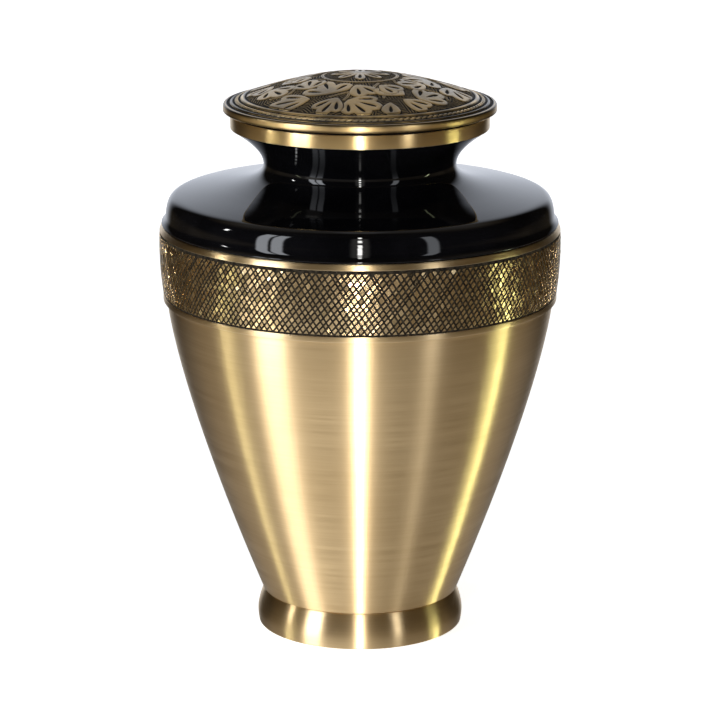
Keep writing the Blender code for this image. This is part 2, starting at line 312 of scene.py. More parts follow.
def inner_side(outline, wall):
    """The outline moved by one wall to its left, less the points that come too near it."""
    steps = np.diff(outline, axis=0)
    normals = np.stack([-steps[:, 1], steps[:, 0]], axis=1)
    normals /= np.hypot(normals[:, 0], normals[:, 1])[:, None]
    padded = np.vstack([normals[:1], normals, normals[-1:]])
    corner = padded[:-1] + padded[1:]
    corner /= np.hypot(corner[:, 0], corner[:, 1])[:, None]
    reach = wall / np.maximum((corner * padded[:-1]).sum(axis=1), 0.5)
    moved = outline + corner * reach[:, None]
    nearest = np.array([distance_to(outline, *point) for point in moved])
    return moved[nearest > 0.95 * wall]


def distance_to(path, x, y):
    """The shortest distance from points (x, y), given as arrays, to a chain of straight runs."""
    x = np.asarray(x, float)
    nearest = np.full(x.shape, np.inf)
    for (x0, y0), (x1, y1) in zip(path[:-1], path[1:]):
        run = (x1 - x0) ** 2 + (y1 - y0) ** 2
        at = np.clip(((x - x0) * (x1 - x0) + (y - y0) * (y1 - y0)) / run, 0.0, 1.0)
        nearest = np.minimum(nearest, np.hypot(x0 + at * (x1 - x0) - x, y0 + at * (y1 - y0) - y))
    return nearest


def smooth_step(low, high, value):
    """0 below low, 1 above high, and 3t^2 - 2t^3 between them."""
    t = np.clip((value - low) / (high - low), 0.0, 1.0)
    return t * t * (3.0 - 2.0 * t)


def surface(name, points, faces, marks=None, sharp_degrees=30.0):
    """A mesh object from points, arrays of faces, and named values that its points carry."""
    mesh = bpy.data.meshes.new(name)
    mesh.from_pydata(points.tolist(), [], [row for group in faces for row in group.tolist()])
    for label, values in (marks or {}).items():
        mark = mesh.attributes.new(label, "FLOAT", "POINT")
        mark.data.foreach_set("value", np.asarray(values, np.float32))
    if sharp_degrees:
        mesh.shade_smooth()
        mesh.set_sharp_from_angle(angle=math.radians(sharp_degrees))
    mesh.validate()
    mesh.update()
    piece = bpy.data.objects.new(name, mesh)
    bpy.context.scene.collection.objects.link(piece)
    return piece


def bent_share(outline, closed):
    """How sharply an outline turns at each point: 1 on a crisp edge, -1 in a crisp corner."""
    line = np.asarray(outline, float)
    before = np.roll(line, 1, axis=0)
    after = np.roll(line, -1, axis=0)
    if not closed:
        before[0] = line[0]
        after[-1] = line[-1]
    into = line - before
    out = after - line
    turn = np.arctan2(into[:, 0] * out[:, 1] - into[:, 1] * out[:, 0], (into * out).sum(axis=1))
    span = 0.5 * (np.hypot(*into.T) + np.hypot(*out.T)) + 1e-6
    return np.clip(turn / span * CRISP_LENGTH, -1.0, 1.0)


def lathe_faces(rings, steps, start, closed):
    """Quads between rings of points: ring j + 1 lies after ring j, counter-clockwise."""
    ring = np.arange(rings if closed else rings - 1)[:, None]
    here = np.arange(steps)[None, :]
    after = (here + 1) % steps
    low = start + ring * steps
    high = start + ((ring + 1) % rings) * steps
    return np.stack([low + here, low + after, high + after, high + here], axis=-1).reshape(-1, 4)


def lathe(name, outline, steps=192, swell=None, sunk=None):
    """Turns an outline of (r, h) about Z: x = r cos a, y = r sin a, z = h.

    An outline that begins and ends on the axis gets a pole at each end, and any other is
    closed on itself. Swell, if given, is a function of angle and point that adds to r and h,
    and sunk tells from r and h how deep a point lies in a groove, from 0 to 1.
    """
    line = np.asarray(outline, float)
    poles = line[0, 0] == 0.0
    body = line[1:-1] if poles else line
    angle = FRONT + math.tau * np.arange(steps) / steps
    r = np.repeat(body[:, :1], steps, axis=1)
    h = np.repeat(body[:, 1:], steps, axis=1)
    if swell is not None:
        r, h = swell(angle[None, :], r, h)
    points = np.stack([r * np.cos(angle), r * np.sin(angle), h], axis=-1).reshape(-1, 3)
    marks = {} if sunk is None else {"sunk": sunk(r, h).ravel()}
    faces = [lathe_faces(len(body), steps, 0, not poles)]
    bent = np.repeat(bent_share(line, not poles)[1:-1] if poles else bent_share(line, True), steps)
    if poles:
        here = np.arange(steps)
        after = (here + 1) % steps
        low = len(points)
        last = (len(body) - 1) * steps
        points = np.vstack([points, [0.0, 0.0, line[0, 1]], [0.0, 0.0, line[-1, 1]]])
        faces.append(np.stack([np.full(steps, low), after, here], axis=-1))
        faces.append(np.stack([last + here, last + after, np.full(steps, low + 1)], axis=-1))
        bent = np.append(bent, [0.0, 0.0])
        marks = {label: np.append(values, [0.0, 0.0]) for label, values in marks.items()}
    marks["bent"] = bent
    return surface(name, points, faces, marks)


def dress(piece, material, slot, *nodes):
    """Gives a piece its material, and lets it ride and stand for CAD nodes; the slot is not used.
    """
    piece.data.materials.append(material)
    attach(piece, BODY)
    if nodes:
        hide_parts(*nodes)
    return piece


# Outlines: the profiles of the solids in finer steps and with softer edges.


def foot_outline(foot):
    """A wedge section: the radius falls from its peak as a power of the way down or up."""
    along = np.linspace(0.0, 1.0, 25)
    below = np.clip(1.0 - along / foot.widest, 0.0, 1.0) ** foot.fullness
    above = np.clip((along - foot.widest) / (1.0 - foot.widest), 0.0, 1.0) ** foot.fullness
    radius = foot.radius - foot.sole_in * below - foot.top_in * above
    side = np.stack([radius, foot.height * along], axis=1)
    inner_top = (radius[-1] - foot.top_width, foot.height)
    inner_sole = (radius[0] - foot.sole_width, 0.0)
    middle = (inner_sole[0] + 0.5 * foot.sole_width, 0.0)
    edge = 0.0006
    return soften([middle, *side, inner_top, inner_sole, middle], edge)[:-1]


def band_radius(body, along):
    """The band's radius at a share of its height: a shallow parabola with one peak."""
    return body.band_radius - body.band_swell * ((along - body.band_peak) / body.band_peak) ** 2


def levels(body):
    """Heights of the body's base, the cone's top, the band's two edges and the rim."""
    base = foot_of("body")
    cone_top = base + body.cone_height
    low = cone_top + body.stripe_height
    high = low + body.band_height
    return base, cone_top, low, high, high + body.stripe_height


def cone_side(body, steps):
    """The cone's side, climbing: r = base + gain (1 - (1 - t) ^ fullness)."""
    along = np.linspace(0.0, 1.0, steps + 1)
    gain = band_radius(body, 0.0) - body.stripe_stand - body.base_radius
    radius = body.base_radius + gain * (1.0 - (1.0 - along) ** body.fullness)
    return np.stack([radius, foot_of("body") + body.cone_height * along], axis=1)


def band_side(body, steps, sink=0.0):
    """The band's side, climbing, sunk by some depth."""
    low, high = levels(body)[2:4]
    along = np.linspace(0.0, 1.0, steps + 1)
    return np.stack([band_radius(body, along) - sink, low + (high - low) * along], axis=1)


def body_outline(body, net):
    """A cup: floor, cone, lower stripe, sunk band, upper stripe, and the inner side."""
    base, cone_top, low, high, rim = levels(body)
    rim_radius = band_radius(body, 1.0) - body.stripe_bevel
    lap = 2.0 * bpy.context.scene.urn_shoulder.lap
    inside = inner_side(np.vstack([cone_side(body, 24), band_side(body, 4)]), body.wall)
    kept = (inside[:, 1] > base + body.floor) & (inside[:, 1] < rim - lap)
    floor_radius = float(np.interp(base + body.floor, inside[:, 1], inside[:, 0]))
    bed = 2.0 * net.depth
    return soften(
        [
            (0.0, base),
            *cone_side(body, 56),
            (band_radius(body, 0.0), cone_top),
            (band_radius(body, 0.0), low),
            *band_side(body, 8, bed),
            (band_radius(body, 1.0), high),
            (rim_radius, rim),
            (rim_radius - body.wall, rim),
            (rim_radius - body.wall, rim - lap),
            *inside[kept][::-1],
            (floor_radius, base + body.floor),
            (0.0, base + body.floor),
        ],
        body.edge,
    )


def net_ground_outline(body, net):
    """A thin strip that lies in the sunk band and shows between the pads."""
    outer = band_side(body, 12, net.depth)
    inner = band_side(body, 12, 2.0 * net.depth)
    return [*outer, *inner[::-1]]


def shoulder_outline(body, shoulder):
    """Bead, drum, rounded crease, sloping top, waist and flare, with a lap in the body."""
    clearance = joint_gap()
    base = top_of("body") + clearance
    neck_top = top_of("shoulder")
    body_rim = band_radius(body, 1.0) - body.stripe_bevel
    bead_top = body_rim - shoulder.bead_stand
    waist = (shoulder.waist_radius, base + shoulder.waist_height)
    crease = (bead_top - shoulder.crease_inset, base + shoulder.crease_height)
    drum_foot = (bead_top, base + shoulder.bead_height)
    mouth = (reach_of("mouth_ring") - shoulder.rim_setback, neck_top)
    brim = (body_rim - 0.1 * shoulder.edge_tuck, base + shoulder.edge_height)
    tucked = (body_rim - shoulder.edge_tuck, base)
    rolled = bend(tucked, brim, shoulder.edge, 5)
    bead = np.vstack([rolled[:-1], bend(brim, drum_foot, shoulder.bead, 10)])
    upper = np.vstack(
        [
            bend(drum_foot, crease, shoulder.drum, 20),
            bend(crease, waist, shoulder.top, 36)[1:],
            bend(waist, mouth, shoulder.flare, 24)[1:],
        ]
    )
    inside = inner_side(upper[::2], body.wall)
    kept = (inside[:, 1] > drum_foot[1]) & (inside[:, 1] < neck_top - body.wall)
    lap_radius = body_rim - body.wall - clearance
    drum_inside = bead_top - body.wall
    return [
        *bead,
        *upper[1:],
        (mouth[0] - body.wall, neck_top),
        *inside[kept][::-1],
        (drum_inside, drum_foot[1]),
        (drum_inside, base - shoulder.lap),
        (lap_radius, base - shoulder.lap),
        (lap_radius, base),
    ]


def mouth_ring_outline(ring):
    """A channel open below: outer wall, top flange and the sleeve that takes the plug."""
    base = foot_of("mouth_ring")
    top = top_of("mouth_ring")
    wall_inside = ring.radius - ring.wall
    bore = ring.radius - ring.width
    corners = [
        (wall_inside, base),
        (ring.radius, base),
        (ring.radius, top - ring.groove_height),
        (ring.radius - ring.groove_depth, top - ring.groove_height),
        (ring.radius - ring.groove_depth, top),
        (bore, top),
        (bore, base),
        (bore + ring.wall, base),
        (bore + ring.wall, top - ring.wall),
        (wall_inside, top - ring.wall),
        (wall_inside, 0.5 * (base + top)),
    ]
    return soften([corners[-1], *corners], ring.chamfer)[:-1]


def line_depth(ring, r, h):
    """How deep a point of the mouth ring lies in the line under the lid, from 0 to 1; this line is
    painted dark as the shade between ring and lid.
    """
    high = h > top_of("mouth_ring") - 1.1 * ring.groove_height
    outer = r > ring.radius - 2.0 * ring.wall
    depth = np.clip((ring.radius - r) / ring.groove_depth, 0.0, 1.0)
    return np.where(high & outer, depth, 0.0)


def dome_height(lid, radius):
    """Height of the lid's top at a radius: a hyperbola, round at the middle.

    The top lies lower by flatness (sqrt(1 + (radius / round)^2) - 1).
    """
    spread = lid.radius / lid.dome_round
    flatness = (lid.height - 2.0 * lid.lip_low) / (math.sqrt(1.0 + spread**2) - 1.0)
    lowering = np.sqrt(1.0 + (np.asarray(radius) / lid.dome_round) ** 2) - 1.0
    return top_of("lid") - flatness * lowering


def lid_rings(lid):
    """Inner and outer radius of the outer rib, the rope ring and the inner rib."""
    outer = lid.radius - lid.lip_width - (lid.lip_gap - lid.gap)
    rings = []
    for width in (lid.outer_rib, lid.rope, lid.inner_rib):
        high = outer - lid.gap
        rings.append((high - width, high))
        outer = high - width
    return rings


def field_radius(lid):
    """Radius of the carved field inside the inner rib."""
    return lid_rings(lid)[-1][0] - lid.gap


def groove_depth(lid, r, h):
    """How deep a point of the lid's top lies below the dome: 1 in a groove, 0 on a rib."""
    lowest = 1.3
    hair = 0.00005
    drop = (dome_height(lid, r) - h) / lid.relief
    on_top = (drop < lowest) & (r < lid.radius - lid.lip_width + hair)
    return np.where(on_top, np.clip(drop, 0.0, 1.0), 0.0)


def lid_outline(lid, ring):
    """Bed under the carving, ribs, rounded lip, seat, plug, and the hollow under the dome."""
    bed = lid.relief + 0.4 * lid.wall
    field = field_radius(lid)
    outline = [(r, dome_height(lid, r) - bed) for r in np.linspace(0.0, field, 12)]
    outline.append((field, dome_height(lid, field) - lid.relief))
    for number, (low, high) in enumerate(reversed(lid_rings(lid))):
        rope = number == 1
        turn = np.linspace(-1.0, 1.0, 3 if rope else 9)
        radii = 0.5 * (low + high) + 0.5 * (high - low) * turn
        lift = np.zeros(3) if rope else lid.relief * np.sqrt(np.clip(1.0 - turn**2, 0.0, 1.0))
        outline += list(zip(radii, dome_height(lid, radii) - lid.relief + lift))
    clearance = joint_gap()
    seat = top_of("mouth_ring") + clearance
    lip_start = lid.radius - lid.lip_width
    lip_level = seat + lid.lip_low
    rise = dome_height(lid, lip_start) - lip_level
    outline.append((lip_start, dome_height(lid, lip_start) - lid.relief))
    turn = np.linspace(0.5 * math.pi, 0.0, 10)
    across = lip_start + lid.lip_width * np.cos(turn) ** lid.lip_square
    outline += list(zip(across, lip_level + rise * np.sin(turn) ** lid.lip_square))
    edge = 0.0003
    outline += [(lid.radius, seat + edge), (lid.radius - edge, seat)]
    plug = ring.radius - ring.width - clearance
    plug_inside = plug - ring.wall
    plug_foot = foot_of("lid")
    seat_edge = lid.radius - lid.seat_width
    under = lid.relief + lid.wall
    outline.append((seat_edge, seat))
    outline += [(r, dome_height(lid, r) - under) for r in (seat_edge, plug)]
    outline += [(plug, plug_foot), (plug_inside, plug_foot)]
    outline += [(r, dome_height(lid, r) - under) for r in np.linspace(plug_inside, 0.0, 10)]
    return outline


# The net of pads.

# Least height and width of a pad and least length of its upright sides.
PAD_HEIGHT = 0.0006
PAD_WIDTH = 0.0004
PAD_SIDE = 0.00008
# How far a corner may lift or sink, and how far the pads stay below the band's surface.
PAD_LIFT = 0.00013
PAD_SET_BACK = 0.00001
# A pad's foot is larger than its top by this factor, may pass the net's edge by this much,
# and is sunk in the ground by this much.
FOOT_GROWTH = 1.10
FOOT_PAST_EDGE = 0.0001
FOOT_SINK = 0.00003
LEAN_SPREAD = 0.018


def net_edges(body, net):
    """Heights of the net's lower and upper edge."""
    low, high = levels(body)[2:4]
    return low + net.border, high - net.top_border


def pad_corners(body, net, rng):
    """Corners x and z of the pads on the unrolled band, six to a pad.

    A cut is the line x = a + z s. A pad lies right of one falling and one rising cut and
    left of the next ones, so its left side is the greater of two lines and its right side
    the lesser. Each pad is a hexagon, blunt above and below. x runs round from the front
    and z up from the net's lower edge.
    """
    low, high = net_edges(body, net)
    height = high - low
    pitch = math.tau * body.band_radius / net.lines
    fall = -1.0 / math.tan(math.radians(net.steep))
    rise = 1.0 / math.tan(math.radians(net.shallow))
    stray = rng.normal(0.0, net.wander, (2, net.lines)) * pitch
    lean = 1.0 + rng.normal(0.0, LEAN_SPREAD, (2, net.lines))
    rows = int(height * (rise - fall) / pitch) + 3
    column, row = np.meshgrid(np.arange(net.lines), np.arange(-1, rows))
    column = column.ravel()
    other = column - row.ravel()

    def cut(family, index, slope, side):
        """Where a cut starts and how it slants, moved by half a groove to one side."""
        start = index * pitch + stray[family, index % net.lines]
        half = 0.5 * net.groove * math.hypot(1.0, slope)
        return start + side * half, slope * lean[family, index % net.lines]

    def cross(one, two):
        """Height at which two cuts meet."""
        return (one[0] - two[0]) / (two[1] - one[1])

    def side_at(lines, pick, z):
        """Place of a pad's side at a height."""
        return pick(lines[0][0] + lines[0][1] * z, lines[1][0] + lines[1][1] * z)

    left = (cut(0, column, fall, 1.0), cut(1, other, rise, 1.0))
    right = (cut(0, column + 1, fall, -1.0), cut(1, other + 1, rise, -1.0))
    top = np.minimum(cross(right[0], left[1]) - net.blunt, height)
    foot = np.maximum(cross(left[0], right[1]) + net.blunt, 0.0)
    kept = top - foot > PAD_HEIGHT
    left_z = np.clip(cross(left[0], left[1]), foot + PAD_SIDE, top - PAD_SIDE)
    right_z = np.clip(cross(right[0], right[1]), foot + PAD_SIDE, top - PAD_SIDE)
    z = np.stack([left_z, foot, foot, right_z, top, top], axis=1)
    x = np.stack(
        [
            side_at(left, np.maximum, left_z),
            side_at(left, np.maximum, foot),
            side_at(right, np.minimum, foot),
            side_at(right, np.minimum, right_z),
            side_at(right, np.minimum, top),
            side_at(left, np.maximum, top),
        ],
        axis=1,
    )
    kept &= (x[:, 3] - x[:, 0] > PAD_WIDTH) & (x[:, 2] > x[:, 1]) & (x[:, 4] > x[:, 5])
    return x[kept], z[kept]


def net_pads(body, net):
    """The pads, rolled on to the band: each is tilted a little and stands on a larger foot."""
    rng = np.random.default_rng(7)
    low, high = net_edges(body, net)
    x, z = pad_corners(body, net, rng)
    count = len(x)
    middle_x = x.mean(axis=1, keepdims=True)
    middle_z = z.mean(axis=1, keepdims=True)
    unruly = rng.random((count, 1)) < spark_share(middle_x / body.band_radius)
    amount = np.radians(np.where(unruly, net.spark, net.tilt))
    tilt = rng.normal(0.0, 1.0, (2, count, 1)) * amount
    surface_radius = band_radius(body, (low - levels(body)[2] + z) / body.band_height)
    lift = np.clip(tilt[0] * (x - middle_x) + tilt[1] * (z - middle_z), -PAD_LIFT, PAD_LIFT)
    top_radius = surface_radius - PAD_LIFT - PAD_SET_BACK + lift
    foot_x = middle_x + FOOT_GROWTH * (x - middle_x)
    foot_z = middle_z + FOOT_GROWTH * (z - middle_z)
    foot_z = np.clip(foot_z, -FOOT_PAST_EDGE, high - low + FOOT_PAST_EDGE)
    foot_radius = surface_radius - net.depth - FOOT_SINK

    def wrapped(across, up, radius):
        """x metres round from the front and z metres up, rolled on to the band."""
        angle = FRONT + across / body.band_radius
        return np.stack([radius * np.cos(angle), radius * np.sin(angle), low + up], axis=-1)

    tops = wrapped(x, z, top_radius)
    feet = wrapped(foot_x, foot_z, foot_radius)
    points = np.concatenate([tops, feet], axis=1).reshape(-1, 3)
    first = 12 * np.arange(count)[:, None]
    here = np.arange(6)
    after = (here + 1) % 6
    sides = first[:, :, None] + np.stack([6 + here, 6 + after, after, here], axis=1)[None]
    faces = [first + here, sides.reshape(-1, 4), first + 11 - here]
    marks = {"tone": np.repeat(rng.random(count), 12)}
    return surface("net_pads", points, faces, marks, sharp_degrees=0.0)


def spark_share(angle):
    """Share of unruly pads at an angle from the front: eight patches are restless."""
    patches = 8.0
    first_patch = 0.314
    return 0.06 + 0.5 * smooth_step(0.2, 0.9, np.cos(patches * (angle - first_patch)))


# The carved lid.


def polar(start, bearing, distance):
    """The point at a bearing, in degrees, and a distance from a start."""
    angle = math.radians(bearing)
    return (start[0] + distance * math.cos(angle), start[1] + distance * math.sin(angle))


# Greatest half widths of a lobe, of a vein and of a petal.
LOBE_WIDTH = 0.0042
VEIN_WIDTH = 0.0008
PETAL_WIDTH = 0.0024
PETALS = 8
# The greatest value of a lobe's formula, see lobe_depth.
LOBE_PEAK = 0.539
# A vein begins at this share of its lobe's length, is this share of it long, and is at
# most this share of the lobe wide.
VEIN_START = 0.32
VEIN_LENGTH = 0.52
VEIN_SHARE = 0.32
# Degrees that the hatching turns for each degree between two lobes.
HATCH_TURN = 1.7
# Length of a petal and radius of the rosette's ring, as shares of the field's radius.
PETAL_LENGTH = 0.26
RING_PLACE = 0.33


def leaf_lobes(lid):
    """Leaves, then the rosette, each a list of lobes (start, heading, length, half width).

    A leaf's lobes fan out from its stalk. The outer ones are shorter, and none passes the
    field's edge.
    """
    field = field_radius(lid)
    past_edge = 1.02
    shortening = 0.40
    leaves = []
    for turn in range(LEAF_TURNS):
        around = turn * 360.0 / LEAF_TURNS
        for out, bearing, heading, reach, count, spread in LEAVES:
            stalk = polar((0.0, 0.0), bearing + around, out * field)
            room = (past_edge - out * math.cos(math.radians(bearing - heading))) * field
            breadth = spread / count
            leaf = []
            for number in range(count):
                offset = number - 0.5 * (count - 1)
                share_left = 1.0 - shortening * (2.0 * offset / count) ** 2
                long = min(lid.growth * reach * field * share_left, room)
                wide = min(long * math.sin(math.radians(0.5 * breadth)), LOBE_WIDTH)
                leaf.append((stalk, heading + around + offset * breadth, long, wide))
            leaves.append(leaf)
    turns = np.arange(PETALS) * 360.0 / PETALS
    petal = (PETAL_LENGTH * field, PETAL_WIDTH)
    leaves.append([((0.0, 0.0), float(turn), *petal) for turn in turns])
    return leaves


def lobe_depth(x, y, start, heading, long, wide):
    """How far inside a lobe a point lies, and less than 0 outside it.

    Along the lobe u runs from 0 to 1, and its half width is u^0.8 sqrt(1 - u^2), scaled
    so that it reaches the given width at its broadest.
    """
    cosine = math.cos(math.radians(heading))
    sine = math.sin(math.radians(heading))
    u = ((x - start[0]) * cosine + (y - start[1]) * sine) / long
    v = (y - start[1]) * cosine - (x - start[0]) * sine
    inside = np.clip(u, 0.0, 1.0)
    depth = wide * inside**0.8 * np.sqrt(1.0 - inside**2) / LOBE_PEAK - np.abs(v)
    beyond = np.maximum(np.maximum(u - 1.0, -u) * long, 0.0)
    return np.where((u < 0.0) | (u > 1.0), -np.hypot(beyond, v), depth)


def stem_paths(field):
    """The stems of all thirds, each a smoothed chain of points."""
    paths = []
    for turn in range(LEAF_TURNS):
        around = turn * 360.0 / LEAF_TURNS
        for stem in STEMS:
            knots = np.array([polar((0.0, 0.0), b + around, s * field) for s, b in stem])
            t = np.linspace(0.0, len(knots) - 1.0, 6 * len(knots))
            paths.append(smooth_chain(knots, t))
    return paths


def smooth_chain(knots, t):
    """Points at places t along knots, on cubic pieces that pass through every knot."""
    ends = np.vstack([2 * knots[0] - knots[1], knots, 2 * knots[-1] - knots[-2]])
    at = np.minimum(t.astype(int), len(knots) - 2)
    u = (t - at)[:, None]
    a, b, c, d = (ends[at + n] for n in range(4))
    return 0.5 * (
        2 * b + (c - a) * u + (2 * a - 5 * b + 4 * c - d) * u**2 + (3 * b - a - 3 * c + d) * u**3
    )


def carving_marks(lid, x, y):
    """Depths in millimetres into leaf, vein and stem, and the hatching's place at each point."""
    field = field_radius(lid)
    leaf = np.full(x.shape, -1.0)
    vein = np.full(x.shape, -1.0)
    heading_of = np.zeros(x.shape)
    for lobes in leaf_lobes(lid):
        whole = np.full(x.shape, -1.0)
        slits = np.full(x.shape, -1.0)
        for start, heading, long, wide in lobes:
            depth = lobe_depth(x, y, start, heading, long, wide)
            heading_of = np.where(depth > np.maximum(whole, leaf), heading, heading_of)
            whole = np.maximum(whole, depth)
            root = polar(start, heading, VEIN_START * long)
            size = (VEIN_LENGTH * long, min(VEIN_WIDTH, VEIN_SHARE * wide))
            slits = np.maximum(slits, lobe_depth(x, y, root, heading, *size))
        over = whole > -lid.outline
        leaf = np.where(over, whole, np.maximum(leaf, whole))
        vein = np.where(over, slits, vein)
    stem = np.full(x.shape, 1.0)
    for path in stem_paths(field):
        stem = np.minimum(stem, distance_to(path, x, y))
    stem = np.minimum(stem, np.abs(np.hypot(x, y) - RING_PLACE * field))
    slant = np.radians(heading_of * HATCH_TURN + 90.0)
    hatch = (x * np.cos(slant) + y * np.sin(slant)) / lid.hatch
    return leaf / MILLIMETRE, vein / MILLIMETRE, stem / MILLIMETRE, hatch


def disc(cells):
    """A square grid drawn into the unit disc: each square ring of it becomes a circle."""
    side = np.linspace(-1.0, 1.0, cells + 1)
    a, b = np.meshgrid(side, side)
    wide = np.abs(a) > np.abs(b)
    safe_a = np.where(a == 0.0, 1.0, a)
    safe_b = np.where(b == 0.0, 1.0, b)
    turn = np.where(wide, 0.25 * math.pi * b / safe_a, 0.5 * math.pi - 0.25 * math.pi * a / safe_b)
    reach = np.where(wide, a, b)
    return reach * np.cos(turn), reach * np.sin(turn)


def disc_edge(cells):
    """Numbers of the grid's outermost points, in order round it."""
    row = cells + 1
    run = np.arange(cells)
    sides = [run, run * row + cells, (row * row - 1) - run, (row * row - row) - run * row]
    return np.concatenate(sides)


def carved_height(leaf, vein, stem, hatch):
    """Height over the ground, from 0 to 1: leaves with slit veins, then ridges and hatching.

    Depths into leaf and vein and distances from a stem are in millimetres.
    """
    raised = smooth_step(-0.16, 0.16, leaf)
    pillow = 0.24 * (1.0 - smooth_step(0.0, 0.9, leaf))
    ridge = smooth_step(0.75, 0.50, stem) - 0.8 * smooth_step(0.26, 0.08, stem)
    ridge *= 1.0 - raised
    lines = (0.16 + 0.16 * np.sin(math.tau * hatch)) * (1.0 - raised) * (1.0 - ridge)
    slit = 0.62 * smooth_step(-0.12, 0.12, vein) * raised
    height = raised * (1.0 - pillow) - slit + 0.7 * ridge + lines
    return np.clip(height, 0.0, 1.0)


def carved_field(lid, cells):
    """The carved disc: dome height, less the relief off the leaves, closed by an underside."""
    rim_width = 0.0006
    thickness = 0.35 * lid.wall
    unit_x, unit_y = disc(cells)
    field = field_radius(lid)
    x = unit_x.ravel() * field
    y = unit_y.ravel() * field
    leaf, vein, stem, hatch = carving_marks(lid, x, y)
    radius = np.hypot(x, y)
    rim = smooth_step(field - rim_width, field, radius)
    height = carved_height(leaf, vein, stem, hatch) * (1.0 - rim)
    z = dome_height(lid, radius) - lid.relief * (1.0 - height)
    top = np.stack([x, y, z], axis=-1)
    row = cells + 1
    corner = (np.arange(cells)[:, None] * row + np.arange(cells)).ravel()
    faces = [np.stack([corner, corner + 1, corner + row + 1, corner + row], axis=-1)]
    around = disc_edge(cells)
    edge = top[around]
    below = []
    for part in np.linspace(1.0, 0.0, 6)[:-1]:
        ring = edge * [part, part, 0.0]
        ring[:, 2] = dome_height(lid, field * part) - lid.relief - thickness
        below.append(ring)
    pole = [[0.0, 0.0, dome_height(lid, 0.0) - lid.relief - thickness]]
    points = np.vstack([top, *below, pole])
    steps = len(around)
    here = np.arange(steps)
    after = (here + 1) % steps
    start = len(top)
    faces.append(np.stack([around[after], around[here], start + here, start + after], axis=-1))
    faces.append(lathe_faces(len(below), steps, start, False)[:, ::-1])
    last = start + (len(below) - 1) * steps
    faces.append(np.stack([np.full(steps, len(points) - 1), last + after, last + here], axis=-1))
    extra = len(points) - len(top)
    marks = {
        "leaf": np.append(leaf, np.full(extra, -1.0)),
        "vein": np.append(vein, np.full(extra, -1.0)),
        "stem": np.append(stem, np.full(extra, 9.0)),
        "hatch": np.append(hatch, np.zeros(extra)),
        "raised": np.append(height, np.zeros(extra)),
    }
    return surface("lid_carving", points, faces, marks, sharp_degrees=60.0)


def rope_ring(lid):
    """A ring of blocks: its height drops, on a smooth step, in the slits between them.

    The slits slant, are pinched at their sides, and take most of a block's height.
    """
    slant = 0.35
    pinch = 0.15
    slit_depth = 0.9
    slit = (0.60, 0.86)
    low, high = lid_rings(lid)[1]
    middle = 0.5 * (low + high)
    half = 0.5 * (high - low)
    base = float(dome_height(lid, middle)) - lid.relief
    slope = float(dome_height(lid, high) - dome_height(lid, low)) / (high - low)
    turn = np.linspace(0.0, math.pi, 9)
    section = [(middle + half * math.cos(t), base + lid.relief * math.sin(t)) for t in turn]
    below = base - 0.4 * lid.relief
    section += [(middle - half, below), (middle + half, below)]

    def blocks(angle, r, h):
        """Radius and height of the section's points with the slits cut in."""
        phase = np.mod(angle * lid.beads / math.tau + slant * (r - middle) / half, 1.0)
        gap = smooth_step(*slit, np.abs(2.0 * phase - 1.0))
        lifted = np.where(h > base, base + (h - base) * (1.0 - slit_depth * gap), h)
        return middle + (r - middle) * (1.0 - pinch * gap), lifted + slope * (r - middle)

    def between(r, h):
        """1 in the slits, 0 on top of the blocks."""
        level = base + slope * (r - middle)
        return 1.0 - np.clip((h - level) / (0.75 * lid.relief), 0.0, 1.0)

    return lathe("lid_rope_ring", section, 10 * lid.beads, blocks, between)


# Shader nodes.


def place(tree, kind, inputs=None, **settings):
    """Adds a node; inputs gives each socket a value or the socket that feeds it."""
    node = tree.nodes.new(kind)
    for label, value in settings.items():
        setattr(node, label, value)
    for label, value in (inputs or {}).items():
        if isinstance(value, bpy.types.NodeSocket):
            tree.links.new(value, node.inputs[label])
        else:
            node.inputs[label].default_value = value
    return node


def sums(tree, operation, *values):
    """The result of one arithmetic node."""
    return place(tree, "ShaderNodeMath", dict(enumerate(values)), operation=operation).outputs[0]


def times(tree, one, two):
    """One value times another."""
    return sums(tree, "MULTIPLY", one, two)


def plus(tree, one, two):
    """One value plus another."""
    return sums(tree, "ADD", one, two)


def less(tree, one, two):
    """One value less another."""
    return sums(tree, "SUBTRACT", one, two)


def ramp(tree, value, low, high, start=0.0, end=1.0):
    """A value mapped smoothly from low..high to start..end."""
    inputs = {0: value, 1: low, 2: high, 3: start, 4: end}
    node = place(tree, "ShaderNodeMapRange", inputs, interpolation_type="SMOOTHSTEP")
    return node.outputs[0]


def blend(tree, factor, one, two):
    """Two colours mixed by a factor."""
    node = place(tree, "ShaderNodeMix", {0: factor, 6: one, 7: two}, data_type="RGBA")
    return node.outputs[2]


def scaled(tree, vector, amount):
    """A vector or colour times a number."""
    inputs = {0: vector, "Scale": amount}
    return place(tree, "ShaderNodeVectorMath", inputs, operation="SCALE").outputs[0]


def added(tree, one, two):
    """Two vectors or colours added."""
    return place(tree, "ShaderNodeVectorMath", {0: one, 1: two}, operation="ADD").outputs[0]


def mark(tree, name):
    """A value that the piece's points carry."""
    return place(tree, "ShaderNodeAttribute", attribute_name=name).outputs["Fac"]


def opaque(value):
    """A colour with full alpha."""
    return (*value, 1.0)


def new_group(name, inputs, outputs):
    """A node group with named number or colour sockets."""
    tree = bpy.data.node_groups.new(name, "ShaderNodeTree")
    for label, default in inputs.items():
        kind = "NodeSocketFloat" if isinstance(default, float) else "NodeSocketColor"
        socket = tree.interface.new_socket(label, in_out="INPUT", socket_type=kind)
        socket.default_value = default
    for label, kind in outputs.items():
        tree.interface.new_socket(label, in_out="OUTPUT", socket_type=kind)
    return tree, tree.nodes.new("NodeGroupInput"), tree.nodes.new("NodeGroupOutput")


